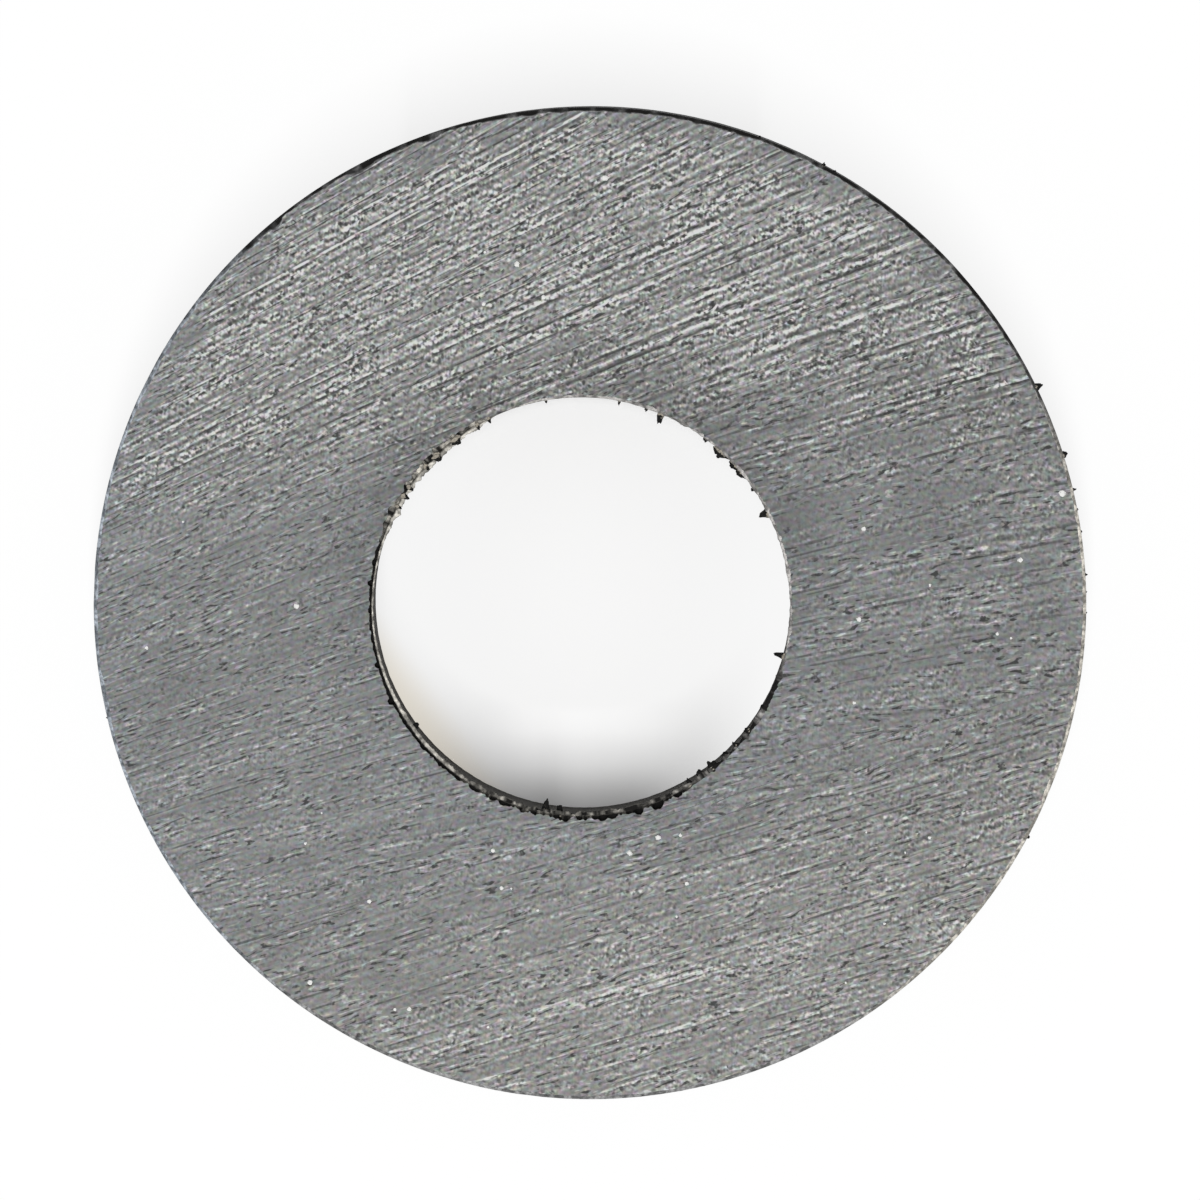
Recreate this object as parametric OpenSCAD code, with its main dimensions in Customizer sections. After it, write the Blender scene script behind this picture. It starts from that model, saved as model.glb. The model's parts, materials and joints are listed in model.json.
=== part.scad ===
// Ring magnet of hard ferrite.
//
// The ring is pressed from powder and fired in one piece, and both pole faces are then
// ground flat. Its outside and its bore keep the form that press and kiln gave them: the
// core rod stood a little off centre, and the brittle edges have chipped.
// It lies flat on its lower pole face. The centre of its outside is over the origin,
// and +Z points out of the upper pole face.

/* [Ring] */
// Diameter of the outside
outer_d = 45; // [36:0.5:70]
// Diameter of the bore
bore_d = 19; // [14:0.5:24]
// Thickness, from one ground pole face to the other
thickness = 8; // [4:0.5:14]

/* [Bore placement] */
// Where the core rod stood along X, from the centre of the outside
bore_x = -0.39; // [-0.6:0.01:0.6]
// Where the core rod stood along Y, from the centre of the outside
bore_y = -0.14; // [-0.6:0.01:0.6]

/* [Edges] */
// Width of the worn edge round the outside, at both faces
outer_break = 0.20; // [0.04:0.01:0.3]
// Width of the worn edge round the bore, at both faces
bore_break = 0.14; // [0.04:0.01:0.3]
// How much more the upper edge of the bore is worn on one side than on the mean
break_shift = 0.10; // [0:0.01:0.12]
// The side where it is worn most, anticlockwise from +X
break_side = 190; // [0:5:355]

/* [Chips] */
// Size of every chip, as a share of the size listed for it
chip_scale = 1; // [0.5:0.05:1.1]
// Whether the edges are chipped at all
chipped = true;

/* [Hidden] */

outer_r = outer_d / 2;
bore_r = bore_d / 2;
ferrite_grey = [0.54, 0.54, 0.54];

// Chips of the upper edge of the bore. Each has its direction from the bore's axis and
// half the angle that it takes up, in degrees, and then how far it reaches over the face
// and how deep it goes down the wall.
bore_chips = [
    [127, 1.6, 0.26, 0.30],
    [135, 1.4, 0.30, 0.34],
    [145, 1.8, 0.24, 0.30],
    [156.5, 3.8, 0.32, 0.46],
    [177, 4.2, 0.33, 0.52],
    [196, 1.3, 0.38, 0.30],
    [206.5, 1.5, 0.40, 0.36],
    [221, 2.4, 0.32, 0.38],
    [235, 3.0, 0.34, 0.42],
    [255.5, 3.1, 0.38, 0.62],
    [264.5, 2.7, 0.36, 0.50],
    [275, 2.8, 0.28, 0.40],
    [289.5, 4.4, 0.36, 0.70],
    [297.5, 2.2, 0.26, 0.34],
    [309, 1.6, 0.28, 0.32],
    [322, 1.4, 0.30, 0.30],
    [328, 1.9, 0.18, 0.24],
    [84, 3.4, 0.14, 0.22],
    [12, 2.2, 0.12, 0.18],
];

// Chips and flats of the upper edge of the outside, from its own axis.
outer_chips = [
    [20.5, 1.5, 0.26, 0.32],
    [97, 1.2, 0.27, 0.32],
    [109, 1.7, 0.34, 0.42],
    [118, 2.1, 0.38, 0.48],
    [129.5, 1.4, 0.34, 0.42],
    [153, 2.6, 0.27, 0.60],
    [178, 2.1, 0.26, 0.50],
    [191, 2.8, 0.27, 0.36],
    [263, 1.5, 0.28, 0.36],
    [338, 1.8, 0.27, 0.34],
];

// The solid disc, with both edges of its outside worn.
module disc() {
    rotate_extrude($fn = 240)
        polygon([
            [0, 0],
            [outer_r - outer_break, 0],
            [outer_r, outer_break],
            [outer_r, thickness - outer_break],
            [outer_r - outer_break, thickness],
            [0, thickness],
        ]);
}

// What the core rod leaves open: a true bore, and a shallow cone at each end of it for
// the worn edge. A cone runs past its face, so that the cut is clean.
module bore_space() {
    past = 1;
    cylinder(h = 3 * thickness, r = bore_r, center = true, $fn = 180);
    translate([0, 0, -past])
        cylinder(h = past + bore_break, r1 = bore_r + past + bore_break, r2 = bore_r, $fn = 180);
    rotate([0, 0, break_side])
        translate([break_shift, 0, thickness - bore_break])
            cylinder(h = past + bore_break, r1 = bore_r, r2 = bore_r + past + bore_break, $fn = 180);
}

// The shell-shaped hollow that a flake leaves in the edge of the upper face. It is part of
// one sphere, which is the only sphere that passes through both ends of the chip on the
// edge, through its furthest point on the face and through its lowest point on the wall.
// wall_r is the radius of the wall that carries the edge. side is 1 where the material is
// outside that wall, as round a bore, and -1 where it is inside.
module flake(wall_r, side, direction, half_angle, reach, depth) {
    bulge = wall_r * (1 - cos(half_angle));
    centre_r = reach * (2 * wall_r + side * reach) / (2 * (reach + side * bulge));
    past_wall = side * (wall_r - centre_r);
    centre_z = (reach * (2 * past_wall + reach) - depth * depth) / (2 * depth);
    rotate([0, 0, direction])
        translate([centre_r, 0, thickness + centre_z])
            sphere(r = norm([past_wall + reach, centre_z]), $fn = 96);
}

module chips(list, wall_r, side) {
    for (chip = list)
        flake(wall_r, side, chip[0], chip[1], chip[2] * chip_scale, chip[3] * chip_scale);
}

module magnet_ring() {
    color(ferrite_grey)
        difference() {
            disc();
            translate([bore_x, bore_y, 0]) {
                bore_space();
                if (chipped)
                    chips(bore_chips, bore_r, 1);
            }
            if (chipped)
                chips(outer_chips, outer_r, -1);
        }
}

magnet_ring();
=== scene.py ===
# %% [markdown]
# # A ring magnet, seen close up
# The object is one ring of hard ferrite, a ceramic that is pressed from powder, fired and
# then ground flat on its two pole faces. There is nothing to assemble, so the whole look
# is in four places: the marks that the grinding wheel left across the face, the brittle
# and ragged edges, the dull skin that the kiln left on the walls, and the bits of dirt
# that a magnet always gathers.
#
# The ring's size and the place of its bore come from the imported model. Everything below
# is worked out from those in millimetres, and only the finished meshes are in metres.

import json
import math
import random

import bmesh
import bpy
from mathutils import Matrix, Vector, noise


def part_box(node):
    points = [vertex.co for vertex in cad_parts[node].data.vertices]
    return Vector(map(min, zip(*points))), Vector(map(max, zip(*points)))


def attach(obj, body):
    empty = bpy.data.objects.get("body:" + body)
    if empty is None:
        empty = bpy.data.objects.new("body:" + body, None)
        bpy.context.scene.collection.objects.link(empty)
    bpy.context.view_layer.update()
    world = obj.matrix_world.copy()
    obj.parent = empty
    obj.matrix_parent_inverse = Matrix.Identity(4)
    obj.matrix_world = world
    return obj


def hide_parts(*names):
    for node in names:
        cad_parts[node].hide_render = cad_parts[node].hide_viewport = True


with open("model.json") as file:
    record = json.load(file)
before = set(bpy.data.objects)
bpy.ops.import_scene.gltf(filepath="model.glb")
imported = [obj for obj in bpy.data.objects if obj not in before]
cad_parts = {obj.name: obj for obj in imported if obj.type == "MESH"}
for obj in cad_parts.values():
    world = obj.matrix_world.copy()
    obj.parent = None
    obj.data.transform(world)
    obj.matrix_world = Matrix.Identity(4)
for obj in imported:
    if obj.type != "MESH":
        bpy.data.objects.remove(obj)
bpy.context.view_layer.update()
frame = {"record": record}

MM = 0.001
low, high = (corner / MM for corner in map(Vector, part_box("magnet_ring")))
mounts = {mount["name"]: mount for mount in frame["record"]["mounts"]}
outer_r = mounts["outside"]["dims"]["r_mm"]
bore_r = mounts["bore"]["dims"]["r_mm"]
bore_x, bore_y = (mounts["bore"]["pos_m"][i] / MM for i in (0, 1))
thickness = high.z - low.z
print(f"ring {2 * outer_r} x {2 * bore_r} x {thickness:.2f} mm, bore at {bore_x:.2f}, {bore_y:.2f}")

# %% [markdown]
# ## How the edges are worn
# The edge of a ground ceramic isn't a clean chamfer. The wheel breaks small flakes out of
# it, so seen from above the edge is a ragged line, and below that line there is a rough
# step down to the wall. An edge is described here by functions of the direction round the
# ring. Each chip is a smooth bump in those functions, and the fine raggedness is noise
# that is read on a circle, so that it closes on itself.

# %% Small tools for things that vary round the ring
BUMP_SHARPNESS = 3.0


def turn_between(angle, direction):
    """The angle from one direction to another, in degrees, from -180 to 180."""
    return (angle - direction + 180) % 360 - 180


def bump(angle, direction, half_width):
    """1 at a direction, falling to 0 at half_width degrees on either side of it."""
    share = abs(turn_between(angle, direction)) / half_width
    return 1 - share**BUMP_SHARPNESS if share < 1 else 0.0


def between(angle, start, end, fade):
    """1 from start to end, anticlockwise, and 0 elsewhere, with a soft change."""
    middle = start + (end - start) % 360 / 2
    reach = (end - start) % 360 / 2
    past = abs(turn_between(angle, middle)) - reach
    return min(1.0, max(0.0, 0.5 - past / fade))


def ragged(angle, radius, grain, seed, octaves=3):
    """Noise from about -1 to 1 at a place on the circle of that radius, in mm."""
    place = Vector((math.cos(math.radians(angle)), math.sin(math.radians(angle)), 0))
    return noise.fractal(place * radius / grain + Vector((0, 0, seed)), 1.0, 2.0, octaves)


# %% [markdown]
# The bore's upper edge is the worst one. From the upper left round to the lower right a
# thin fin of ceramic, pressed up between the punch and the core pin, has come away from
# the face. Between the fin and the face runs a dark crevice, and chips have broken out of
# the face along it. On the upper left the fin leans over the bore. On the right there is
# no fin, only a fine ragged break, and dirt clogs the edge on the lower right. Single
# chips are listed by their direction, half their angle, how far they reach over the face
# and how deep they go.

# %% The upper edge of the bore
BORE_CHIPS = [
    (127, 1.0, 0.05, 0.10),
    (133, 0.8, 0.07, 0.10),
    (145, 0.9, 0.05, 0.10),
    (156.5, 1.9, 0.09, 0.16),
    (168, 0.8, 0.05, 0.10),
    (173.5, 0.9, 0.10, 0.18),
    (181, 0.7, 0.05, 0.10),
    (189, 1.1, 0.05, 0.12),
    (196, 0.9, 0.13, 0.18),
    (206.5, 1.0, 0.14, 0.18),
    (213, 0.7, 0.05, 0.10),
    (221, 1.5, 0.06, 0.14),
    (228, 0.6, 0.05, 0.10),
    (235, 1.8, 0.05, 0.14),
    (244, 0.7, 0.04, 0.10),
    (254.5, 1.3, 0.12, 0.20),
    (258, 0.7, 0.06, 0.12),
    (265.5, 1.8, 0.14, 0.22),
    (271, 0.7, 0.05, 0.10),
    (276, 1.2, 0.07, 0.14),
    (286, 1.4, 0.12, 0.20),
    (291, 1.9, 0.16, 0.24),
    (297.5, 1.0, 0.07, 0.12),
    (309, 0.6, 0.07, 0.12),
    (322, 0.8, 0.10, 0.14),
    (102, 1.6, 0.04, 0.08),
    (84, 1.4, 0.03, 0.08),
]


def bore_edge(angle):
    """How the edge is at a direction: the face's retreat, its chip, the fin and its lean."""
    slow = ragged(angle, bore_r, 1.6, 3.1)
    fine = ragged(angle, bore_r, 0.30, 7.7)
    sharp = ragged(angle, bore_r, 0.12, 2.2, 2)
    upper_left = between(angle, 117, 160, 6)
    front = between(angle, 235, 300, 14)
    fin = between(angle, 117, 302, 6) * min(1.0, 1.25 + front * (fine - 0.35))
    back = 0.02 + (0.11 + 0.03 * upper_left) * fin + 0.02 * slow * fin
    back += (0.03 + 0.03 * fin + 0.03 * front) * fine + 0.012 * sharp
    back += upper_left * (0.05 + 0.05 * slow + 0.04 * fine)
    back += 0.09 * between(angle, 72, 104, 14)
    back += between(angle, 322, 74, 14) * (0.06 + 0.04 * slow + 0.05 * fine + 0.03 * sharp)
    chip = 0.0
    for direction, half_width, reach, depth in BORE_CHIPS:
        share = bump(angle, direction, half_width) * (1 + 0.25 * fine)
        back += reach * share
        chip += depth * share
    lean = upper_left * (0.13 + 0.05 * slow + 0.09 * fine + 0.04 * sharp)
    lean += between(angle, 160, 200, 14) * (0.01 + 0.02 * slow)
    lean += between(angle, 200, 302, 24) * (0.13 + 0.03 * slow) + front * (0.03 * fine + 0.02 * sharp)
    lean += (1 - fin) * between(angle, 340, 74, 14) * (0.05 + 0.04 * slow + 0.04 * fine)
    lean += between(angle, 300, 340, 8) * (0.11 + 0.04 * slow + 0.08 * fine + 0.05 * sharp)
    return max(back, 0.008), max(chip, 0.0), max(fin, 0.0), max(lean, 0.0)


# %% The upper edge of the outside
OUTER_CHIPS = [
    (20.5, 1.3, 0.05, 0.10),
    (97, 0.9, 0.06, 0.12),
    (109, 1.4, 0.14, 0.22),
    (117.5, 1.7, 0.20, 0.28),
    (129.5, 1.0, 0.16, 0.22),
    (153, 2.3, 0.05, 0.30),
    (178, 1.8, 0.05, 0.30),
    (191, 3.0, 0.06, 0.10),
    (263, 1.2, 0.06, 0.12),
    (338, 1.6, 0.05, 0.10),
]


def outer_edge(angle):
    """How far the face is broken back at the outside, and how deep the break goes."""
    fine = ragged(angle, outer_r, 0.4, 1.3)
    slow = ragged(angle, outer_r, 2.5, 9.1)
    worn = between(angle, 35, 142, 24)
    back = 0.15 + 0.05 * worn + (0.03 + 0.04 * worn) * slow + (0.03 + 0.02 * worn) * fine
    deep = 0.15 + 0.06 * worn + 0.04 * slow + 0.03 * fine
    for direction, half_width, reach, depth in OUTER_CHIPS:
        share = bump(angle, direction, half_width)
        back += reach * share
        deep += depth * share
    return max(back, 0.05), max(deep, 0.05)


# %% [markdown]
# ## The ring's mesh
# A ring is a closed profile spun round an axis, which is what `bmesh.ops.spin` does. The
# fine steps that the ragged edges need come from subdividing the coarse ring, which is
# much quicker than spinning them one by one. Each vertex of the profile has a station
# number, which goes with it all the way round, so that afterwards the edges can be shaped
# station by station. The operators leave the vertices and faces in an order that changes
# from run to run, so both are sorted before anything is shaped.

# %% Stations of the profile
COARSE_STEPS = 80
CUTS = 19
STEPS = COARSE_STEPS * (CUTS + 1)

OUTER_FACE = (5.0, 1.2, 0.3, 0.05)
OUTER_WALL = (0.12, 0.4, 1.0, 2.2, 3.8, 5.4, 6.8, 7.5, 7.8)
BORE_FACE = (3.0, 1.4, 0.6, 0.25, 0.09, 0.03)
BORE_WALL = (0.10, 0.28, 0.6, 1.2, 2.2, 3.6, 5.0, 6.4, 7.3, 7.8)
LOWER_INSET = (0.02, 0.07, 0.15, 2.0)
LOWER_RISE = (0.06, 0.015, 0.0, 0.0)
OUTER_BREAK = 6
BORE_BREAK = 9


def outer_station(number, angle, wear):
    """Radius and height of a point of the outer profile, from the upper face downwards."""
    back, deep = wear
    if number < len(OUTER_FACE):
        return outer_r - back - OUTER_FACE[number], thickness
    number -= len(OUTER_FACE)
    if number < OUTER_BREAK:
        share = number / (OUTER_BREAK - 1)
        rough = 0.02 * ragged(angle, outer_r, 0.25, 20 + 3 * number, 2) * math.sin(math.pi * share)
        turned = share * math.pi / 2
        radius = outer_r - back * (1 - math.sin(turned)) + rough
        return radius, thickness - deep * (1 - math.cos(turned)) + rough
    number -= OUTER_BREAK
    if number < len(OUTER_WALL):
        down = deep + OUTER_WALL[number] * (thickness - deep - 0.1) / OUTER_WALL[-1]
        skin = 0.008 * noise.noise(Vector((angle * 0.6, down * 1.2, 2)))
        return outer_r - abs(skin), thickness - down
    number -= len(OUTER_WALL)
    rough = 0.012 * abs(ragged(angle, outer_r, 0.4, 44))
    return outer_r - LOWER_INSET[number] - rough, LOWER_RISE[number]


def bore_break(number, back, chip, fin, lean):
    """A point of the bore's broken edge: how far outside the bore's radius, and how deep."""
    plain = (
        (back, 0.0),
        (back * 0.7, 0.02),
        (back * 0.4 - lean * 0.3, 0.03),
        (back * 0.2 - lean * 0.7, 0.05),
        (-lean, 0.10),
        (-lean, 0.16),
        (-lean * 0.7, 0.24),
        (-lean * 0.3, 0.36),
        (0.0, 0.5),
    )[number]
    finned = (
        (back, 0.0),
        (back - 0.01, 0.10),
        (back - 0.025, 0.30 + chip),
        (0.040, 0.34 + chip),
        (0.022 - lean * 0.1, 0.20),
        (-0.005 - lean * 0.3, 0.10),
        (-0.050 - lean * 0.9, 0.11),
        (-0.070 - lean, 0.16),
        (-0.060 - lean * 0.9, 0.42),
    )[number]
    return tuple((1 - fin) * p + fin * q for p, q in zip(plain, finned))


def bore_station(number, angle, wear):
    """Radius and height of a point of the bore's profile, from the upper face downwards."""
    back, chip, fin, lean = wear
    if number < len(BORE_FACE):
        return bore_r + back + BORE_FACE[number], thickness
    number -= len(BORE_FACE)
    if number < BORE_BREAK:
        outside, down = bore_break(number, *wear)
        if number > 0:
            rough = ragged(angle, bore_r, 0.16, 30 + 3 * number, 2)
            outside += (0.008 + 0.022 * fin) * rough
            down += (0.01 + 0.03 * fin) * rough
        return bore_r + outside, thickness - max(down, 0.004 * number)
    number -= BORE_BREAK
    if number < len(BORE_WALL):
        down = 0.5 + BORE_WALL[number] * (thickness - 0.6) / BORE_WALL[-1]
        hang = fin * (0.05 + lean * 0.6) * math.exp(-((down - 0.4) / 0.5) ** 2)
        skin = 0.02 * noise.noise(Vector((angle * 0.4, down * 1.1, 7)))
        return bore_r - hang + abs(skin), thickness - down
    number -= len(BORE_WALL)
    rough = 0.012 * abs(ragged(angle, bore_r, 0.3, 51))
    return bore_r + LOWER_INSET[number] + rough, LOWER_RISE[number]


OUTER_STATIONS = len(OUTER_FACE) + OUTER_BREAK + len(OUTER_WALL) + len(LOWER_INSET)
BORE_STATIONS = len(BORE_FACE) + BORE_BREAK + len(BORE_WALL) + len(LOWER_INSET)
ALL_STATIONS = OUTER_STATIONS + BORE_STATIONS
print("stations:", OUTER_STATIONS, "outside,", BORE_STATIONS, "in the bore")


# %% Spin the profile and cut it finer
def step_of(vertex):
    """Which step round the ring a vertex of the plain ring stands on."""
    return round(math.atan2(vertex.co.y, vertex.co.x) / (2 * math.pi) * STEPS) % STEPS


def put_in_order(mesh):
    """Sorts the vertices and the faces by their station and step."""
    station = mesh.verts.layers.int["station"]
    mesh.verts.sort(key=lambda vertex: vertex[station] * STEPS + step_of(vertex))
    mesh.verts.index_update()
    count = len(mesh.verts)

    def corner(face):
        numbers = [vertex.index for vertex in face.verts]
        return min(numbers) * count + max(numbers)

    mesh.faces.sort(key=corner)


def spin_ring():
    """A plain ring whose vertices know their station and are put in their places later."""
    mesh = bmesh.new()
    station = mesh.verts.layers.int.new("station")
    # The layer called dirt holds black iron dust and painted shade.
    mesh.verts.layers.float.new("dirt")
    profile = []
    for number in range(ALL_STATIONS):
        vertex = mesh.verts.new((outer_r, 0, -0.2 * number))
        vertex[station] = number
        profile.append(vertex)
    edges = [mesh.edges.new(pair) for pair in zip(profile, profile[1:] + profile[:1])]
    bmesh.ops.spin(
        mesh,
        geom=profile + edges,
        cent=(0, 0, 0),
        axis=(0, 0, 1),
        dvec=(0, 0, 0),
        angle=2 * math.pi,
        steps=COARSE_STEPS,
        use_merge=True,
        use_duplicate=False,
    )
    round_edges = [e for e in mesh.edges if e.verts[0][station] == e.verts[1][station]]
    bmesh.ops.subdivide_edges(mesh, edges=round_edges, cuts=CUTS)
    put_in_order(mesh)
    return mesh


# How black the steps of the bore's break are: the crevice, the fin's top, its side. The black in the
# crevice and on the fin's side is painted shade.
BLACK_IN_BREAK = (0.0, 0.9, 1.0, 1.0, 0.9, 0.0, 0.0, 0.6, 0.9)
CREVICE_END, FIN_TOP_END = 5, 7


def dirt_and_shade_on(number, angle, wear):
    """How black a station is, from 0 to 1: iron dust, and painted shade in the bore's crevice, on the
    fin and on the upper side of the outer break.
    """
    if number < OUTER_STATIONS:
        number -= len(OUTER_FACE)
        if not 0 < number < OUTER_BREAK + 1:
            return 0.0
        # The black on the upper side of the outer break is painted shade on the side that faces away
        # from the light.
        upper_side = between(angle, 24, 140, 24) * (1.0 + 0.7 * ragged(angle, outer_r, 0.8, 61))
        return min(1.0, max(0.0, upper_side))
    number = ALL_STATIONS - 1 - number - len(BORE_FACE)
    if not 0 <= number < len(BLACK_IN_BREAK):
        return 0.0
    patchy = ragged(angle, bore_r, 0.35, 71)
    blackness = BLACK_IN_BREAK[number] * wear[2]
    if number < CREVICE_END:
        blackness *= 1 - between(angle, 117, 160, 6) * min(1.0, max(0.0, 0.55 - 1.5 * patchy))
    elif number < FIN_TOP_END:
        # At the front the fin's top is painted black: painted shade.
        blackness = between(angle, 232, 304, 24) * (0.80 + 0.7 * patchy)
    blackness = max(blackness, between(angle, 298, 345, 8) * (0.9 + 0.9 * patchy))
    return min(1.0, max(0.0, blackness))


def shape_ring(mesh):
    """Moves every vertex to its place on the worn ring and gives it its dirt and painted shade."""
    station = mesh.verts.layers.int["station"]
    dirt = mesh.verts.layers.float["dirt"]
    outer_wear = [outer_edge(360 * step / STEPS) for step in range(STEPS)]
    bore_wear = [bore_edge(360 * step / STEPS) for step in range(STEPS)]
    for vertex in mesh.verts:
        number = vertex[station]
        step = step_of(vertex)
        angle = 360 * step / STEPS
        vertex[dirt] = dirt_and_shade_on(number, angle, bore_wear[step])
        if number < OUTER_STATIONS:
            radius, height = outer_station(number, angle, outer_wear[step])
            centre = Vector((0, 0, height))
        else:
            number = ALL_STATIONS - 1 - number
            radius, height = bore_station(number, angle, bore_wear[step])
            centre = Vector((bore_x, bore_y, height))
        turn = math.radians(angle)
        vertex.co = centre + radius * Vector((math.cos(turn), math.sin(turn), 0))


def new_piece(mesh, name, body="root"):
    """Makes an object of a finished bmesh in mm, which rides on the ring's body."""
    bmesh.ops.scale(mesh, vec=(MM, MM, MM), verts=mesh.verts)
    data = bpy.data.meshes.new(name)
    mesh.to_mesh(data)
    mesh.free()
    piece = bpy.data.objects.new(name, data)
    bpy.context.scene.collection.objects.link(piece)
    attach(piece, body)
    return piece


ring_mesh = spin_ring()
shape_ring(ring_mesh)
bmesh.ops.recalc_face_normals(ring_mesh, faces=ring_mesh.faces)
print("ring:", len(ring_mesh.verts), "vertices,", 2 * len(ring_mesh.faces), "triangles")
print("open edges:", sum(1 for edge in ring_mesh.edges if not edge.is_manifold))

# %% [markdown]
# ## Which skin each face of the mesh has
# The ring has three skins. The pole faces are ground, the walls are as the kiln left them,
# and the broken edges show fresh ceramic. The station numbers say which is which.

# %% Sort the faces by skin
GROUND, FIRED, BROKEN = range(3)
FLAT = 1e-6


def is_broken(number):
    """Whether a station lies on one of the two broken upper edges."""
    if number < OUTER_STATIONS:
        return len(OUTER_FACE) - 1 < number < len(OUTER_FACE) + OUTER_BREAK
    number = ALL_STATIONS - 1 - number
    return len(BORE_FACE) - 1 < number < len(BORE_FACE) + BORE_BREAK


station_layer = ring_mesh.verts.layers.int["station"]
for face in ring_mesh.faces:
    heights = [vertex.co.z for vertex in face.verts]
    if max(heights) - min(heights) < FLAT:
        face.material_index = GROUND
    elif all(is_broken(vertex[station_layer]) for vertex in face.verts):
        face.material_index = BROKEN
    else:
        face.material_index = FIRED
        face.smooth = True
ring = new_piece(ring_mesh, "worn_ring")
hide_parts("magnet_ring")

# %% [markdown]
# ## A way to write materials as sums
# A pattern is easier to read as a sum than as a web of nodes. A Number wraps one socket,
# and adding or multiplying Numbers makes the Math nodes that do so. Every other node is
# made by one method, which takes the node's type, its settings and its inputs.

# %% Numbers and recipes
class Number:
    """A socket of a material that can be used in a sum."""

    def __init__(self, recipe, socket):
        self.recipe = recipe
        self.socket = socket

    def maths(self, operation, *others):
        inputs = dict(enumerate((self, *others)))
        return self.recipe.make("Math", {"operation": operation}, inputs)

    def __add__(self, other):
        return self.maths("ADD", other)

    def __sub__(self, other):
        return self.maths("SUBTRACT", other)

    def __rsub__(self, other):
        return self.maths("MULTIPLY_ADD", -1.0, other)

    def __mul__(self, other):
        return self.maths("MULTIPLY", other)

    def __truediv__(self, other):
        return self.maths("DIVIDE", other)

    __radd__ = __add__
    __rmul__ = __mul__


def distance(x, y):
    """How long a step of x and y is, as a Number."""
    return (x * x + y * y).maths("SQRT")


class Recipe:
    """The nodes of one material."""

    def __init__(self, name):
        self.material = bpy.data.materials.new(name)
        self.material.use_nodes = True
        self.tree = self.material.node_tree
        self.tree.nodes.clear()

    def make(self, kind, settings=(), inputs=(), output=0):
        """Adds a node, gives it its settings and then its inputs, and returns an output."""
        node = self.tree.nodes.new("ShaderNode" + kind)
        for name, value in dict(settings).items():
            setattr(node, name, value)
        for name, value in dict(inputs).items():
            if isinstance(value, Number):
                self.tree.links.new(value.socket, node.inputs[name])
            else:
                node.inputs[name].default_value = value
        return None if output is None else Number(self, node.outputs[output])

    def place(self):
        """Where the point is on the ring, as three Numbers in mm."""
        metres = self.make("TexCoord", output="Object")
        inputs = {0: metres, "Scale": 1 / MM}
        scaled = self.make("VectorMath", {"operation": "SCALE"}, inputs)
        return tuple(self.make("SeparateXYZ", {}, {0: scaled}, axis) for axis in "XYZ")

    def mesh_dirt(self):
        """The black that was laid down with the mesh, from 0 to 1: dirt, with painted shade on the ring
        and painted highlight on the crumbs.
        """
        return self.make("Attribute", {"attribute_name": "dirt"}, {}, "Fac")

    def flow(self, along, across, detail=0.0, output="Fac"):
        """Noise from 0 to 1 over a plane, about one blob to each unit of its two axes."""
        point = self.make("CombineXYZ", {}, {"X": along, "Y": across})
        inputs = {"Vector": point, "Scale": 1.0, "Detail": detail, "Roughness": 0.6}
        return self.make("TexNoise", {"noise_dimensions": "2D"}, inputs, output)

    def cells(self, along, across):
        """Scattered cells of about one unit: the distance to the middle, and a number of its own."""
        point = self.make("CombineXYZ", {}, {"X": along, "Y": across})
        inputs = {"Vector": point, "Scale": 1.0}
        apart = self.make("TexVoronoi", {"voronoi_dimensions": "2D"}, inputs, "Distance")
        colour = Number(self, apart.socket.node.outputs["Color"])
        return apart, self.make("SeparateColor", {}, {0: colour})

    def solid(self, x, y, z, detail=0.0):
        """Noise from 0 to 1 in space, which has no seam round the ring."""
        point = self.make("CombineXYZ", {}, {"X": x, "Y": y, "Z": z})
        inputs = {"Vector": point, "Scale": 1.0, "Detail": detail, "Roughness": 0.6}
        return self.make("TexNoise", {"noise_dimensions": "3D"}, inputs)

    def ramp(self, value, start, end, low=0.0, high=1.0):
        """Goes smoothly from low to high while a Number goes from start to end."""
        settings = {"interpolation_type": "SMOOTHSTEP", "clamp": True}
        names = ("Value", "From Min", "From Max", "To Min", "To Max")
        return self.make("MapRange", settings, dict(zip(names, (value, start, end, low, high))))

    def blend(self, share, first, second, kind="MIX"):
        """A mix of two colours."""
        settings = {"data_type": "RGBA", "blend_type": kind, "clamp_factor": True}
        return self.make("Mix", settings, {"Factor": share, 6: first, 7: second}, 2)

    def tinted(self, tint, value):
        """A colour times a Number."""
        inputs = {0: tint, "Scale": value}
        return self.make("VectorMath", {"operation": "SCALE"}, inputs)

    def finish(self, colour, roughness, height=None, depth=0.0, sheen=0.5):
        """Ends the recipe in one Principled surface, with relief of that depth in metres."""
        inputs = {"Base Color": colour, "Roughness": roughness, "Specular IOR Level": sheen}
        if height is not None:
            relief = {"Height": height, "Distance": depth, "Strength": 1.0}
            inputs["Normal"] = self.make("Bump", {}, relief)
        surface = self.make("BsdfPrincipled", {}, inputs)
        self.make("OutputMaterial", {}, {"Surface": surface}, None)
        return self.material


# %% [markdown]
# ## The ground face
# The wheel crosses the face in long shallow arcs that all lean the same way, steeper at
# the upper left than at the lower right. A second pass, which leans more than the marks
# next to it, has gone over the lowest part and ends in a hard line. So the pattern isn't
# laid out in x and y. It has a number that runs along the marks and one that stays the
# same along each mark, which comes from solving for the curve whose slope changes evenly
# over the face. Single grains are too short to bend, so they lie on straight axes that
# lean as the upper part does. The underside has the same marks with other grains.
#
# Where the wheel cut well the ceramic is smooth and mid grey. Where it tore, the surface is
# open: pale grains and short pale dashes lie in rows, with dark grooves between them.

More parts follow.
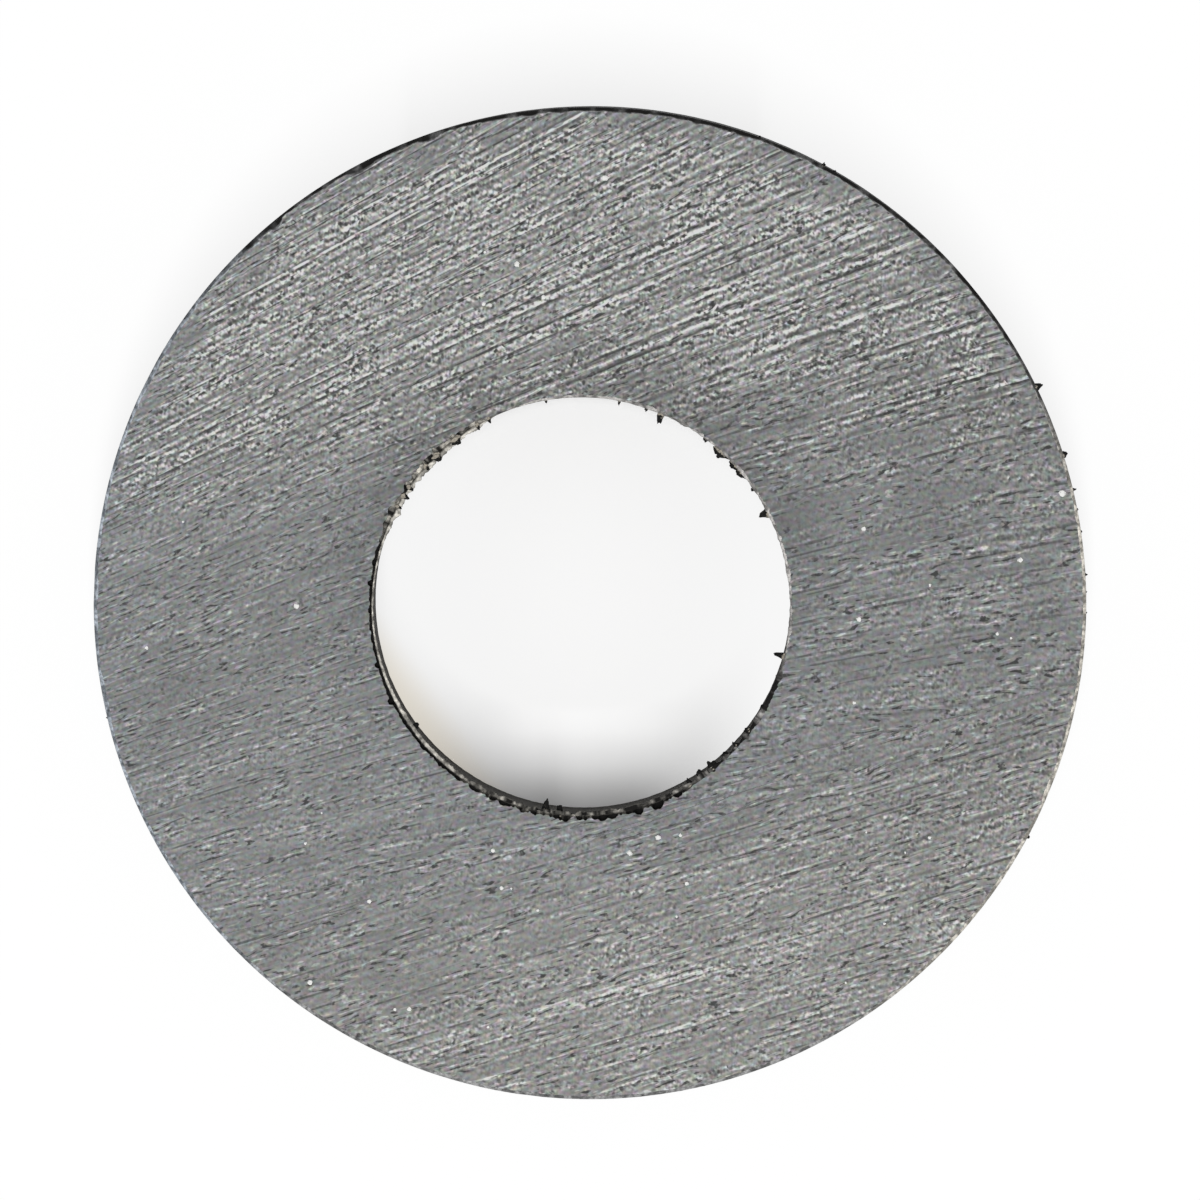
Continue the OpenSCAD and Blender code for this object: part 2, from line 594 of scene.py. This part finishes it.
# %% Lay out the marks of the wheel
SLOPE, SLOPE_X, SLOPE_Y = 0.297, -0.0065, 0.0105
LOW_PASS_SLOPE = 0.305
LOW_PASS_Y = -12.0
LOW_PASS_ALONG, LOW_PASS_ACROSS = 60, 40
UNDERSIDE_SHIFT = 9.0
GRAIN_AXIS_X, GRAIN_AXIS_Y = 0.93, 0.37

ground = Recipe("ground_ferrite")
x, y, z = ground.place()

lean = SLOPE_X / SLOPE_Y
offset = (SLOPE + lean) / SLOPE_Y
decay = (x * -SLOPE_Y).maths("EXPONENT")
main_across = (y + x * lean + offset) * decay
low_across = y - x * LOW_PASS_SLOPE

wander = ground.flow(x / 14, low_across / 1.1, 2.0)
low_pass = ground.ramp(low_across + (wander - 0.5) * 7.0, LOW_PASS_Y + 1.9, LOW_PASS_Y + 1.8)
across = main_across + low_pass * (low_across - main_across + LOW_PASS_ACROSS)
along = x * GRAIN_AXIS_X + y * GRAIN_AXIS_Y + z * UNDERSIDE_SHIFT + low_pass * LOW_PASS_ALONG
grain_across = y * GRAIN_AXIS_X - x * GRAIN_AXIS_Y
on_top = ground.ramp(z, 2.0, 6.0)

# %% [markdown]
# How rough the cut is changes over the face, and so does the tone. The upper part is torn
# and pale, and so is the lower right. The left side is smooth. Round the upper half of the
# bore the face is darker, in a halo, and a narrow smooth band follows the upper rim. The
# halo belongs to the upper side only.

# %% Where the cut is rough, and where the face is dark
upper = ground.ramp(main_across - offset + x * 0.3, 4.5, 12.5)
lower = ground.ramp(x * 0.45 - y, 11.0, 20.0)
right = ground.ramp(x, 6.0, 18.0)
from_bore = distance(x - bore_x, y - bore_y)
halo = ground.ramp(from_bore, bore_r + 3.5, bore_r) * ground.ramp(y, -5.0, 6.0) * on_top
patch = ground.ramp(ground.flow(along / 5, across / 1.6, 1.0), 0.30, 0.70, -1.0, 1.0)
from_axis = distance(x, y)
rim_wander = ground.flow(x / 1.6 + 7, y / 1.6, 2.0) - 0.5
rim = ground.ramp(from_axis + rim_wander * 2.4, outer_r - 1.6, outer_r - 0.5) * ground.ramp(y, 1.0, 12.0)
torn_share = 0.36 + upper * 0.57 + lower * 0.20 + right * 0.08
rough = torn_share * (1 + patch * 0.2) * (1 - rim * 0.5)

pale_side = ground.ramp(y - x * 0.20, 3.0, 15.0) * 0.36 + lower * 0.18
lower_part = ground.ramp(y + x * 0.2, -4.0, -14.0)
level = pale_side * (1 - rim * 0.7) + lower_part * 0.09 - halo * 0.30 + patch * 0.10 - 0.025

# %% [markdown]
# Four kinds of mark are laid over one another. Grains are small spots, some pale and some
# dark, which crowd together where the cut is rough. Rows are thin streaks that keep
# exactly to the direction of the cut, each in short lengths. Lines are rarer and longer.
# Grooves and flashes are single short marks in loose clusters, dark and pale, and are most
# of what shows on the smooth parts. Each groove also has a pale copy just above it, which is
# a painted highlight on its lit side. Pale grains, rows and lines have a dark side just below
# them, which is the same pattern read a little further up; for grains and lines that dark
# side is painted shade of their relief. A few long lines that stand out, some pale and some
# dark, have places of their own on the upper side, with painted shade beside the pale ones
# and painted light beside the dark ones. At the end, what is darker than the ceramic is made
# darker still, as painted shade in the pits.

# %% Sizes of the marks in mm, and the grains
GRAIN_LONG, GRAIN_WIDE, SHADE_SHIFT = 0.21, 0.23, 0.15
ROW_LONG, ROW_WIDE, ROW_SHIFT = 45, 0.24, 0.17
LINE_LONG, LINE_WIDE, LINE_SHIFT = 60, 0.16, 0.10
CUT_LONG, CUT_WIDE, CUT_SHIFT = 0.62, 0.15, 0.13
BAND_WIDE = 0.34
LONG_LINE_SHIFT = 0.17


def cells_at(shift):
    """Spots that are pale or dark, each in a cell of its own, read a little further up."""
    apart, own = ground.cells(along / GRAIN_LONG, (grain_across + shift) / GRAIN_WIDE)
    body = ground.ramp(apart, 0.62, 0.10)
    return body * ground.ramp(own, 0.62, 1.0), body * ground.ramp(own, 0.34, 0.0)


def noise_at(shift, long, wide, seed):
    """Noise with blobs of that length and width in mm, read a little further up."""
    return ground.flow(along / long + seed, (across + shift) / wide)


pale, pits = cells_at(0.0)
# shade is the spots read a little further up: painted shade just below each pale spot.
shade, _ = cells_at(SHADE_SHIFT)
torn = ground.flow(along / GRAIN_LONG, grain_across / GRAIN_WIDE, 1.0)
torn_above = ground.flow(along / GRAIN_LONG, (grain_across + SHADE_SHIFT) / GRAIN_WIDE, 1.0)
row, row_above, row_below = (
    noise_at(shift, ROW_LONG, ROW_WIDE, 31.0) for shift in (0.0, ROW_SHIFT, -ROW_SHIFT)
)
crowd = ground.ramp(ground.flow(along / 1.6 + 5, across / 0.6, 1.0), 0.34, 0.66, 0.55, 1.35)
crowd = crowd * ground.ramp(row, 0.35, 0.62, 0.70, 1.25)
# The noise read a little further up is subtracted: painted shade just below each pale blob.
mottle = (torn - 0.5) * 2.3 - (torn_above - 0.5) * 1.5
grains = (pale * 0.85 - pits * 1.10 - shade * 0.45 + mottle) * crowd

# %% Rows, lines, grooves and flashes
band = across / BAND_WIDE
lengths = ground.ramp(ground.flow(along / 0.9 + 71, band), 0.38, 0.60, upper * 0.5, 1.0)
rows = (row * 2 - row_above - row_below) * 0.85 * lengths

line, line_above = (noise_at(shift, LINE_LONG, LINE_WIDE, 57.0) for shift in (0.0, LINE_SHIFT))
runs = ground.ramp(ground.flow(along / 4 + 66, band), 0.49, 0.56)
gaps = ground.ramp(ground.flow(along / 0.7 + 12, band, 1.0), 0.36, 0.54, 0.15, 1.1)
pale_line = ground.ramp(line, 0.61, 0.68) * (0.35 + upper * 0.4 + lower * 0.2)
# The dark line is the line read a little further up: painted shade just below each pale line.
painted_line_shade = ground.ramp(line_above, 0.61, 0.68) * (0.55 + upper * 0.45)
lines = (pale_line - painted_line_shade) * runs * gaps

cut = ground.flow(along / CUT_LONG + 83, across / CUT_WIDE)
cut_below = ground.flow(along / CUT_LONG + 83, (across - CUT_SHIFT) / CUT_WIDE)
clusters = ground.ramp(ground.flow(along / 3.0 + 21, across / 0.9), 0.38, 0.62, 0.12, 1.45)
grooves = ground.ramp(cut, 0.32, 0.24) * ground.ramp(torn, 0.62, 0.38, 0.5, 1.25)
# The second term is a pale copy of each groove just above it: a painted highlight on its lit side.
flashes_and_highlights = ground.ramp(cut, 0.69, 0.77) + ground.ramp(cut_below, 0.32, 0.24) * 0.5

# %% Long lines: a point on each in mm, where it starts and ends in x, and its strength
LONG_LINES = [
    (-9.4, 17.36, -17.6, 0.5, 0.95),
    (-19.4, 7.8, -21.2, -16.5, 0.5),
    (6.0, 20.1, 3.2, 9.0, 0.5),
    (7.2, 15.1, 4.2, 10.2, -0.5),
    (11.0, 12.6, 8.0, 14.5, 0.5),
    (6.2, 8.8, 3.4, 9.2, -0.45),
]


def long_line(through_x, through_y, start, end, strength):
    """One long line of the wheel through a point: pale with dark sides, or the other way. The sides are
    painted: shade beside a pale line, light beside a dark one.
    """
    here = (through_y + through_x * lean + offset) * math.exp(-SLOPE_Y * through_x)
    apart = across - here
    middle = ground.ramp(apart.maths("ABSOLUTE"), 0.11, 0.02, 0.0, 2.1)
    below = ground.ramp((apart + LONG_LINE_SHIFT).maths("ABSOLUTE"), 0.12, 0.02)
    above = ground.ramp((apart - LONG_LINE_SHIFT).maths("ABSOLUTE"), 0.12, 0.02, 0.0, 0.6)
    reach = ground.ramp(x, start - 0.4, start + 0.4) * ground.ramp(x, end + 0.4, end - 0.4)
    return (middle - below - above) * reach * ground.ramp(gaps, 0.2, 0.9, 0.4 * strength, strength)


single = lines + (flashes_and_highlights * 0.46 - grooves * (1.0 + right * 0.15)) * clusters
single = single + sum(long_line(*each) for each in LONG_LINES) * on_top

# %% Pale scuffs on the lower part: place, half length and half width in mm, and strength
SCUFFS = [
    (-1.6, -18.4, 3.0, 0.5, 0.44),
    (2.2, -17.3, 2.2, 0.4, 0.46),
    (-2.7, -16.4, 1.1, 0.25, 0.40),
    (4.9, -16.8, 1.3, 0.35, 0.28),
    (9.5, -15.2, 3.4, 0.6, 0.18),
    (18.6, -7.8, 2.4, 0.7, 0.18),
    (-4.4, -21.5, 0.7, 0.09, 1.2),
    (-3.3, -21.8, 0.8, 0.08, 1.3),
]
SCUFF_SLOPE = 0.24


def scuff(at_x, at_y, half_long, half_wide, strength):
    """One pale oval along the scuffs' own slope, strongest in its middle."""
    off_line = (y - at_y - (x - at_x) * SCUFF_SLOPE) / half_wide
    off_middle = (x - at_x) / half_long
    away = off_line * off_line + off_middle * off_middle
    return ground.ramp(away, 1.0, 0.2, 0.0, strength)


worn_through = ground.ramp(ground.flow(x / 0.5, low_across / 0.2, 2.0), 0.34, 0.60)
scuffed = sum(scuff(*each) for each in SCUFFS) * worn_through * on_top

# %% All the marks together
marks = (grains + rows) * rough + single * (0.78 + rough * 0.1)
# What is darker than the ceramic is made darker still: painted shade in the pits.
painted_pit_shade = marks.maths("MINIMUM", 0.0) * 0.5
tone = marks + painted_pit_shade + scuffed + level

# %% [markdown]
# The tone goes through an exponential, so that marks darken and lighten by shares of the
# ceramic's own grey. Its tint is hardly a colour at all, but it changes over the face: a
# little green where the cut is rough, bluish where it is smooth and along the bore and the
# left rim, and brownish at the lower right. A faint noise gives each grain its own tint.

# %% Colour of the ground face
MEAN_GREY = 0.212
PALEST_TONE = 1.25
speck = ground.flow(along / 0.3 + 90, across / 0.22, 0.0, "Color")
value = tone.maths("SMOOTH_MIN", PALEST_TONE, 0.5).maths("EXPONENT") * MEAN_GREY
warm = ground.tinted((1.008, 1.018, 0.992), value)
cool = ground.tinted((0.986, 1.013, 1.016), value)
brown = ground.tinted((1.015, 1.018, 0.985), value)
bluish = ground.tinted((0.974, 1.012, 1.028), value)
smooth_share = ground.ramp(rough, 0.8, 0.35) * ground.ramp(y - x * 0.3, -16.0, -8.0)
near_bore = ground.ramp(from_bore, bore_r + 3.5, bore_r + 0.5) * ground.ramp(y, 7.0, 2.0)
left_rim = ground.ramp(x, -17.0, -22.0)
colour = ground.blend(lower, ground.blend(smooth_share, warm, cool), brown)
colour = ground.blend(near_bore.maths("MAXIMUM", left_rim) * 0.8, colour, bluish)
stained = ground.blend(0.2, colour, speck, "OVERLAY")
relief = torn + row * 0.8
ground_ferrite = ground.finish(stained, 0.62, relief, 0.012 * MM)

# %% [markdown]
# ## The fired walls and the broken edges
# The outside and the bore keep the skin of the press and the kiln: dull, dark and a little
# mottled, with faint lines that run up and down where the ring left its die. In the bore the
# skin is painted darker and warmer than outside, which is painted shade with a tint of dust.
# A break shows the inside of the ceramic, which is coarse and splintered. On the outside it
# is painted pale, paler and warmer at the lower right and bluish at the left: partly the
# fresh ceramic's own colour and partly painted light, which lifts the steep faces of the
# break that the lamps leave dark. Pale dust lies in the bore's breaks, thickest on the left.
# The black that was laid down with the mesh covers all of that: iron dust, and painted shade
# in the bore's crevice, on the fin's side, on the fin's top at the front and on the upper
# side of the outer break.

# %% The fired skin of the walls
# Where the bore's dust and painted shade start and are full, as distance from the axis in mm.
BORE_ZONE_ENDS, BORE_ZONE_FULL = 15.0, 12.0
fired = Recipe("fired_ferrite")
x, y, z = fired.place()
from_axis = distance(x, y)
bore_dust_and_shade = fired.ramp(from_axis, BORE_ZONE_ENDS, BORE_ZONE_FULL)
drag = fired.solid(x / 0.24, y / 0.24, z / 9, 2.0)
mottle = fired.solid(x / 2.2, y / 2.2, z / 1.6, 3.0)
pores = fired.ramp(fired.solid(x / 0.3 + 9, y / 0.3, z / 0.22, 1.0), 0.34, 0.22)
wall_level = 0.8 + (drag - 0.5) * 0.5 + (mottle - 0.5) * 0.9 - pores * 0.35
dull = fired.tinted((0.180, 0.180, 0.178), wall_level)
# The bore's wall is painted darker and warmer than outside: painted shade with a tint of dust.
shaded_bore_wall = fired.tinted((0.100, 0.094, 0.084), wall_level)
wall_relief = drag * 0.5 + mottle - pores
fired_ferrite = fired.finish(fired.blend(bore_dust_and_shade, dull, shaded_bore_wall), 0.72, wall_relief, 0.02 * MM, 0.3)

# %% The fresh surface of a break
# Black for iron dust, and for painted shade in the crevice and on the shaded breaks.
IRON_DUST_AND_SHADE = (0.010, 0.0095, 0.009, 1.0)
broken = Recipe("broken_ferrite")
x, y, z = broken.place()
from_axis = distance(x, y)
bore_dust_and_shade = broken.ramp(from_axis, BORE_ZONE_ENDS, BORE_ZONE_FULL)
crystal = broken.solid(x / 0.16, y / 0.16, z / 0.14, 2.0)
splinters = broken.solid(x / 0.42 + 3, y / 0.42, z / 0.3, 1.0)
step_level = (0.75 + (crystal - 0.5) * 1.8) * broken.ramp(splinters, 0.38, 0.60, 0.45, 1.2)
plain = broken.tinted((0.40, 0.40, 0.40), step_level)
# Paler and warmer at the lower right and bluish at the left: partly the fresh ceramic's colour, partly
# painted light on steep faces that the lamps leave dark.
pale_lit_break = broken.tinted((0.76, 0.72, 0.64), step_level)
cold = broken.tinted((0.48, 0.53, 0.59), step_level)
pale_lit_side = broken.ramp(x - y * 0.3, 16.5, 21.0)
fresh = broken.blend(pale_lit_side, plain, pale_lit_break)
fresh = broken.blend(broken.ramp(x, -12.0, -19.0), fresh, cold)
powdered = broken.tinted((0.74, 0.71, 0.64), step_level)
bared = broken.tinted((0.62, 0.60, 0.58), step_level)
bared_side = broken.ramp(x + y * 0.5, -3.0, 4.0)
chipped = broken.blend(bared_side, powdered, bared)
clean = broken.blend(bore_dust_and_shade, fresh, chipped)
# The mesh's black is iron dust and painted shade.
soiled_and_shaded = broken.blend(broken.mesh_dirt(), clean, IRON_DUST_AND_SHADE)
broken_ferrite = broken.finish(soiled_and_shaded, 0.85, crystal, 0.02 * MM, 0.2)

for material in (ground_ferrite, fired_ferrite, broken_ferrite):
    ring.data.materials.append(material)
print("materials on the ring:", [m.name for m in ring.data.materials])

# %% [markdown]
# ## Crumbs at the edges
# A magnet picks up its own chips and iron dust, and they stay where the field is
# strongest, which is at the edges. Each crumb is a small sphere that is pulled to its
# size, thinned towards its tip and roughened with noise. It sits half inside the edge.

# %% Crumbs: direction, width, how far it stands out, its depth and how much it narrows
BORE_CRUMBS = [
    (27.0, 0.44, 0.40, 0.16, 0.45),
    (34.4, 0.20, 0.14, 0.10, 0.2),
    (40.0, 0.62, 0.22, 0.14, 0.3),
    (42.9, 0.60, 0.20, 0.14, 0.3),
    (48.0, 0.84, 0.32, 0.16, 0.55),
    (53.4, 0.24, 0.14, 0.10, 0.2),
    (67.4, 0.36, 0.46, 0.16, 0.25),
    (71.8, 0.18, 0.14, 0.10, 0.2),
    (79.5, 0.12, 0.18, 0.08, 0.3),
    (99.7, 0.12, 0.10, 0.08, 0.2),
    (116.2, 0.16, 0.18, 0.10, 0.2),
    (119.8, 0.18, 0.20, 0.10, 0.2),
    (126.9, 0.50, 0.24, 0.12, 0.2),
    (133.9, 0.42, 0.28, 0.12, 0.2),
    (137.9, 0.20, 0.22, 0.10, 0.2),
    (145.2, 0.18, 0.22, 0.10, 0.2),
    (148.0, 0.24, 0.28, 0.12, 0.3),
    (151.3, 0.14, 0.22, 0.10, 0.2),
    (215.8, 0.36, 0.34, 0.16, 0.1),
    (225.7, 0.20, 0.16, 0.12, 0.2),
    (260.0, 0.42, 0.58, 0.20, 0.30),
    (263.8, 0.30, 0.42, 0.14, 0.1),
    (301.5, 0.30, 0.30, 0.14, 0.3),
    (305.5, 0.50, 0.34, 0.16, 0.2),
    (309.6, 0.56, 0.38, 0.18, 0.3),
    (314.0, 0.40, 0.28, 0.14, 0.2),
    (318.2, 0.26, 0.28, 0.14, 0.3),
    (323.4, 0.36, 0.24, 0.18, 0.2),
    (331.0, 0.40, 0.18, 0.14, 0.2),
    (346.3, 0.27, 0.46, 0.16, 0.2),
]
OUTER_CRUMBS = [
    (1.4, 0.14, 0.08, 0.10, 0.2),
    (3.4, 0.14, 0.15, 0.12, 0.4),
    (8.4, 0.16, 0.10, 0.10, 0.3),
    (11.0, 0.14, 0.10, 0.10, 0.3),
    (13.3, 0.16, 0.19, 0.12, 0.5),
    (17.5, 0.34, 0.24, 0.14, 0.3),
    (25.9, 0.32, 0.30, 0.16, 0.1),
    (60.5, 0.20, 0.12, 0.12, 0.3),
    (62.0, 0.20, 0.20, 0.12, 0.3),
    (70.0, 0.16, 0.12, 0.10, 0.3),
    (193.3, 0.12, 0.10, 0.10, 0.4),
    (332.0, 0.20, 0.14, 0.12, 0.3),
    (359.0, 0.12, 0.08, 0.10, 0.3),
]


def add_crumb(mesh, direction, width, out, deep, narrow, wall_r, side, centre):
    """Adds a crumb that stands out from a wall: side is 1 for the outside, -1 for the bore."""
    blackness = mesh.verts.layers.float["dirt"]
    turn = math.radians(direction)
    down = 0.22
    if side < 0:
        down += 0.3 * between(direction, 180, 300, 10) - 0.14 * between(direction, 112, 160, 4)
    grown = bmesh.ops.create_icosphere(mesh, subdivisions=3, radius=1.0)["verts"]
    for vertex in grown:
        across, outwards, up = vertex.co
        seed = Vector((direction * 3, width * 40, 0))
        # The crumb is less black towards its top and towards the wall, where it shows the pale chip
        # colour: partly the chip's own colour, partly a painted highlight.
        vertex[blackness] = min(1.0, max(0.0, 0.45 + 1.1 * outwards - 0.25 * up))
        bulge = 1 + 0.42 * noise.noise(vertex.co * 1.8 + seed)
        bulge += 0.16 * noise.noise(vertex.co * 4.0 + seed)
        thin = 1 - narrow * max(0.0, outwards)
        across *= 0.5 * width * bulge * thin
        reach = (out if outwards > 0 else 0.14) * outwards * bulge
        radius = wall_r + side * reach
        sideways = across / wall_r
        vertex.co.x = centre[0] + radius * math.cos(turn + sideways)
        vertex.co.y = centre[1] + radius * math.sin(turn + sideways)
        vertex.co.z = thickness - down + up * deep * bulge * thin


def crumbs_piece(name, crumbs, wall_r, side, centre, material):
    """Makes one object with all the crumbs of one edge."""
    mesh = bmesh.new()
    mesh.verts.layers.float.new("dirt")
    for crumb in crumbs:
        add_crumb(mesh, *crumb, wall_r, side, centre)
    bmesh.ops.recalc_face_normals(mesh, faces=mesh.faces)
    piece = new_piece(mesh, name)
    piece.data.materials.append(material)
    print(name, len(crumbs), "crumbs,", len(piece.data.polygons), "faces")


dirt = Recipe("magnetic_dirt")
x, y, z = dirt.place()
clump = dirt.solid(x / 0.14, y / 0.14, z / 0.14, 2.0)
# Where the crumb is less black it takes the pale chip colour, partly the chip's own and partly a painted
# highlight.
black_share = dirt.ramp(dirt.mesh_dirt() + (clump - 0.5) * 1.6, 0.30, 0.55)
chip_and_highlight_colour = dirt.tinted((0.46, 0.42, 0.35), 0.4 + clump)
dirt_and_highlight_colour = dirt.blend(black_share, chip_and_highlight_colour, (0.008, 0.0078, 0.0075, 1.0))
magnetic_dirt = dirt.finish(dirt_and_highlight_colour, 0.8, sheen=0.25)

crumbs_piece("bore_crumbs", BORE_CRUMBS, bore_r - 0.02, -1, (bore_x, bore_y), magnetic_dirt)
crumbs_piece("rim_crumbs", OUTER_CRUMBS, outer_r - 0.05, 1, (0, 0), magnetic_dirt)

# %% [markdown]
# ## Dust on the face
# White specks lie on the face, the largest about a quarter of a millimetre. They are
# flattened lumps, so that they catch the light as dust does.

# %% Specks of dust: the larger ones by their place on the face and their size
LARGE_SPECKS = [
    (0.7, 19.3, 0.13),
    (-3.3, 15.4, 0.13),
    (-2.1, 13.9, 0.10),
    (-4.8, 13.6, 0.09),
    (2.4, 20.8, 0.08),
    (5.9, 19.5, 0.12),
    (-13.3, -0.1, 0.12),
    (-20.1, -2.0, 0.08),
    (3.1, -10.6, 0.12),
    (1.8, -11.3, 0.12),
    (12.4, 3.4, 0.11),
    (19.5, 2.0, 0.12),
    (12.2, -0.7, 0.10),
    (21.4, 5.0, 0.15),
    (-12.7, -17.2, 0.12),
    (-8.2, -18.4, 0.10),
    (-10.0, -13.5, 0.10),
    (-4.4, -11.2, 0.09),
    (-4.0, -12.9, 0.09),
    (4.1, -10.5, 0.08),
    (4.4, -12.7, 0.09),
    (15.4, -10.6, 0.08),
]
SMALL_SPECKS = 26
random.seed(11)


def place_on_face():
    """A point on the ground face, clear of both edges."""
    while True:
        spot_x, spot_y = (random.uniform(-outer_r, outer_r) for _ in range(2))
        if math.hypot(spot_x, spot_y) > outer_r - 0.6:
            continue
        if math.hypot(spot_x - bore_x, spot_y - bore_y) > bore_r + 0.8:
            return spot_x, spot_y


specks = LARGE_SPECKS + [(*place_on_face(), random.uniform(0.04, 0.075)) for _ in range(SMALL_SPECKS)]
dust_mesh = bmesh.new()
for spot_x, spot_y, size in specks:
    grown = bmesh.ops.create_icosphere(dust_mesh, subdivisions=2, radius=1.0)["verts"]
    seed = Vector((spot_x, spot_y, 0)) * 7
    for vertex in grown:
        bulge = size * (1 + 0.5 * noise.noise(vertex.co * 1.5 + seed))
        spot = Vector((spot_x, spot_y, thickness + 0.01))
        vertex.co = spot + Vector((vertex.co.x, vertex.co.y, vertex.co.z * 0.5)) * bulge
face_dust = new_piece(dust_mesh, "face_dust")
white = Recipe("white_dust")
face_dust.data.materials.append(white.finish((0.92, 0.92, 0.90, 1.0), 0.9))
print("specks of dust:", len(specks))

# %% [markdown]
# ## The stage
# The ring lies on a white sheet in soft light. The light comes from all round and a little
# more from the front, so a pale shadow lies behind the ring and at the front side of the
# bore. To the camera the sheet also gives off light of its own, mostly outside the ring and
# at the left and right of the bore, and less in the middle, where the shadow is. That
# keeps the background white without more light on the ceramic. Inside the bore the sheet's
# colour is painted darker towards the front wall, a painted shadow, and near the lower left
# wall, where dust lies, it has a warm tint, which is painted shade and warm light thrown off
# that wall.
# Where the ring covers it the sheet is left out, so that the underside can be looked at.

# %% Floor
FLOOR_RADIUS = 2.0
FLOOR_STEPS = 128
UNDER_RING = 0.3 * MM


def floor_circle(mesh, radius, centre=(0, 0, 0), filled=False):
    """A circle in the plane of the floor, as its edges or as one face."""
    place = Matrix.Translation(centre)
    made = bmesh.ops.create_circle(
        mesh, segments=FLOOR_STEPS, radius=radius, matrix=place, cap_ends=filled
    )
    return list({edge for vertex in made["verts"] for edge in vertex.link_edges})


floor_mesh = bmesh.new()
ring_of_edges = floor_circle(floor_mesh, outer_r * MM - UNDER_RING)
ring_of_edges += floor_circle(floor_mesh, FLOOR_RADIUS)
bmesh.ops.bridge_loops(floor_mesh, edges=ring_of_edges)
floor_circle(floor_mesh, bore_r * MM + UNDER_RING, (bore_x * MM, bore_y * MM, 0), True)
for face in floor_mesh.faces:
    face.normal_update()
    if face.normal.z < 0:
        face.normal_flip()
floor_data = bpy.data.meshes.new("floor")
floor_mesh.to_mesh(floor_data)
floor_mesh.free()
floor = bpy.data.objects.new("floor", floor_data)
bpy.context.scene.collection.objects.link(floor)

paper = Recipe("white_sheet")
x, y, z = paper.place()
from_axis = distance(x, y)
seen = paper.make("LightPath", output="Is Camera Ray")
outside = paper.ramp(from_axis, 12.0, 18.0) * 0.8
in_bore = paper.ramp(from_axis, 12.0, 11.0)
beside = (x - bore_x).maths("ABSOLUTE")
aside = paper.ramp(beside, 1.5, bore_r - 0.5) * 0.85
front = bore_y - y
middle = paper.ramp(beside, 6.0, 3.0) * in_bore
# The sheet's colour in the bore: a little lighter in the middle and darker towards the front wall, a
# painted shadow.
painted_shadow_fall = paper.ramp(front, 4.6, 6.2, 0.0, 0.13) - paper.ramp(front, 7.4, 9.6, 0.0, 0.42)
sheet_light = 0.8 + seen * (0.33 + middle * painted_shadow_fall)
towards_wall = (bore_x - x) * 0.8 + front * 0.6
# Near the lower left wall the sheet is tinted warm and darker: painted shade and warm light thrown off
# the wall.
painted_warm_shade = paper.ramp(towards_wall, 7.5, bore_r) * in_bore
painted_shade_tint = paper.blend(painted_warm_shade, (1.0, 1.0, 1.0, 1.0), (0.88, 0.83, 0.74, 1.0))
lit = paper.make("BsdfDiffuse", {}, {"Color": paper.tinted(painted_shade_tint, sheet_light)})
brightness = paper.ramp(from_axis, 12.0, 18.0, 0.93, 1.0)
glow = paper.make("Emission", {}, {"Color": paper.tinted(painted_shade_tint, brightness)})
lower_right = in_bore * paper.ramp(x - y, 2.0, 9.0) * 0.16
own_light = outside.maths("MAXIMUM", aside) + lower_right
surface = paper.make("MixShader", {}, {"Fac": seen * own_light, 1: lit, 2: glow})
paper.make("OutputMaterial", {}, {"Surface": surface}, None)
floor.data.materials.append(paper.material)


# %% Lamps and world
KEY_HEIGHT = math.radians(76)
KEY_DISTANCE = 1.2
KEY_WIDTH, KEY_LENGTH = 0.14, 0.76
key_data = bpy.data.lights.new("soft_key", "AREA")
key_data.shape = "RECTANGLE"
key_data.size = KEY_WIDTH
key_data.size_y = KEY_LENGTH
key_data.energy = 11.0
key = bpy.data.objects.new("soft_key", key_data)
bpy.context.scene.collection.objects.link(key)
key.location = KEY_DISTANCE * Vector((0, -math.cos(KEY_HEIGHT), math.sin(KEY_HEIGHT)))
key.rotation_euler = (KEY_HEIGHT - math.pi / 2, 0, 0)

world = bpy.data.worlds.new("soft_room")
world.use_nodes = True
sky = world.node_tree.nodes["Background"].inputs
sky["Color"].default_value = (1, 1, 1, 1)
sky["Strength"].default_value = 0.25
bpy.context.scene.world = world
bpy.context.scene.view_settings.view_transform = "Standard"

# %% [markdown]
# ## The camera
# The camera looks almost straight down from 70 cm away, a touch from above and to the
# right, so a sliver of the far wall shows at the lower side of the bore.

# %% Camera
CAMERA_DISTANCE = 0.7
SENSOR = 36.0
FRAME_WIDTH = 54.385
aim = Vector((0.461, 0.180, thickness)) * MM
lean_x, lean_y = 0.009, 0.039
camera_data = bpy.data.cameras.new("camera")
camera_data.sensor_width = SENSOR
camera_data.lens = SENSOR * CAMERA_DISTANCE / (FRAME_WIDTH * MM)
camera_data.clip_end = 20
camera = bpy.data.objects.new("camera", camera_data)
bpy.context.scene.collection.objects.link(camera)
away = Vector((lean_x, lean_y, 1)).normalized()
rightwards = Vector((0, 1, 0)).cross(away).normalized()
upwards = away.cross(rightwards)
camera.location = aim + away * CAMERA_DISTANCE
camera.rotation_euler = Matrix((rightwards, upwards, away)).transposed().to_euler()
bpy.context.scene.camera = camera
print(f"lens {camera_data.lens:.0f} mm")
